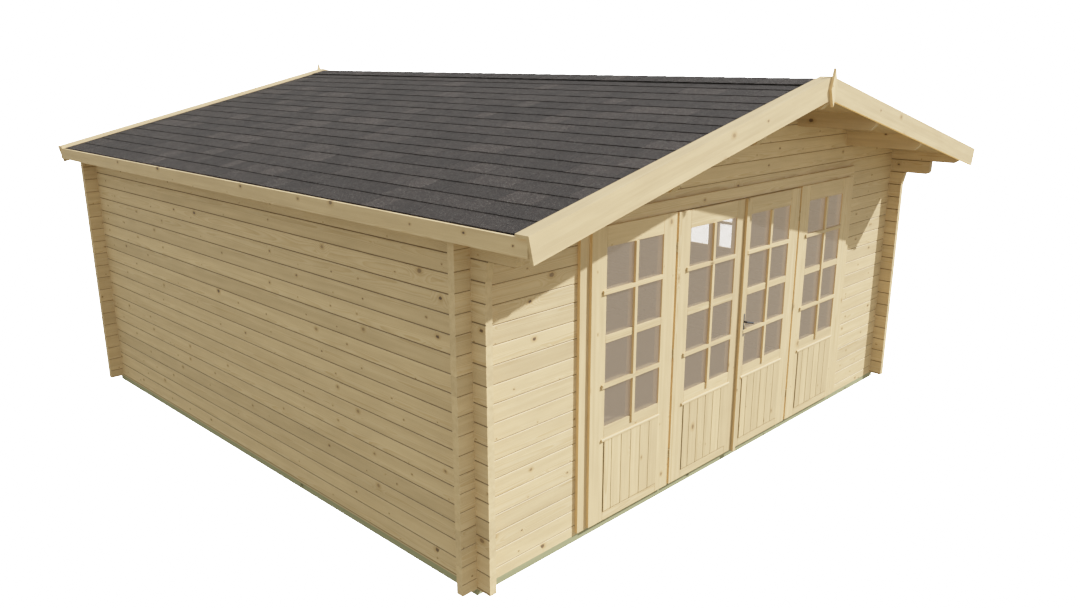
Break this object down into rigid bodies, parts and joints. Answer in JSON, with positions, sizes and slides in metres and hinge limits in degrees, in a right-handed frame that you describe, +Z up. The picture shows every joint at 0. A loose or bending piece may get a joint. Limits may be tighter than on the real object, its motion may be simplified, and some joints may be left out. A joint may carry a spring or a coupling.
{
  "type": "log_cabin",
  "caption": "Small log cabin with interlocking corners, a low shingled gable roof on long purlins, and a glazed double door between fixed glazed panels.",
  "frame": {"origin": "on the ground, centred side to side, midway between the front and rear finials", "axes": "+X to the right of someone facing the doors, +Y from the doors to the rear wall, +Z up"},
  "size_m": [5.5532, 6.079, 2.9305],
  "materials": {
    "log_wood": "planed untreated softwood, matt",
    "joinery_wood": "planed untreated softwood, matt",
    "treated_wood": "pressure treated softwood, matt",
    "shingle_felt": "bitumen felt with mineral granules, rough and matt",
    "clear_glass": "clear polished",
    "hinge_steel": "zinc plated",
    "dark_iron": "dark satin"
  },
  "bodies": {
    "cabin": {"foundation_side_beams": "treated_wood", "foundation_cross_beams": "treated_wood", "left_wall": "log_wood", "right_wall_lower": "log_wood", "right_wall_front_bay": "log_wood", "right_wall_rear_bay": "log_wood", "right_wall_upper": "log_wood", "rear_wall": "log_wood", "front_wall_left": "log_wood", "front_wall_right": "log_wood", "front_gable": "log_wood", "ridge_purlin": "log_wood", "upper_purlins": "log_wood", "lower_purlins": "log_wood", "roof_deck_left": "joinery_wood", "roof_deck_right": "joinery_wood", "shingles_left": "shingle_felt", "shingles_right": "shingle_felt", "ridge_cap": "shingle_felt", "bargeboards_left": "joinery_wood", "bargeboards_right": "joinery_wood", "cap_strips_left": "joinery_wood", "cap_strips_right": "joinery_wood", "eave_fascias": "joinery_wood", "finials": "joinery_wood", "door_posts": "joinery_wood", "door_head": "joinery_wood", "door_threshold": "joinery_wood", "door_casing_sides": "joinery_wood", "door_casing_head": "joinery_wood", "side_panels": "joinery_wood", "side_panel_glass": "clear_glass", "door_hinge_pins": "hinge_steel", "window_frame": "joinery_wood", "window_sash": "joinery_wood", "window_glass": "clear_glass"},
    "left_leaf": {"door_leaf_left": "joinery_wood", "door_glass_left": "clear_glass", "door_hinges_left": "hinge_steel"},
    "right_leaf": {"door_leaf_right": "joinery_wood", "door_glass_right": "clear_glass", "door_hinges_right": "hinge_steel", "door_cover_strip": "joinery_wood", "door_backplates": "dark_iron"},
    "lever": {"door_lever": "dark_iron"}
  },
  "joints": [
    {"name": "left_leaf_hinge", "type": "hinge", "parent": "cabin", "child": "left_leaf", "pos_m": [-0.8115, -2.4375, 1.0545], "axis": [0, 0, -1], "range_deg": [0, 110]},
    {"name": "right_leaf_hinge", "type": "hinge", "parent": "cabin", "child": "right_leaf", "pos_m": [0.8115, -2.4375, 1.0545], "axis": [0, 0, 1], "range_deg": [0, 110]},
    {"name": "lever_turn", "type": "hinge", "parent": "right_leaf", "child": "lever", "pos_m": [0.066, -2.4165, 1.096], "axis": [0, 1, 0], "range_deg": [0, 40], "stiffness_Nm_per_rad": 1.5, "springref_deg": -11.46}
  ]
}
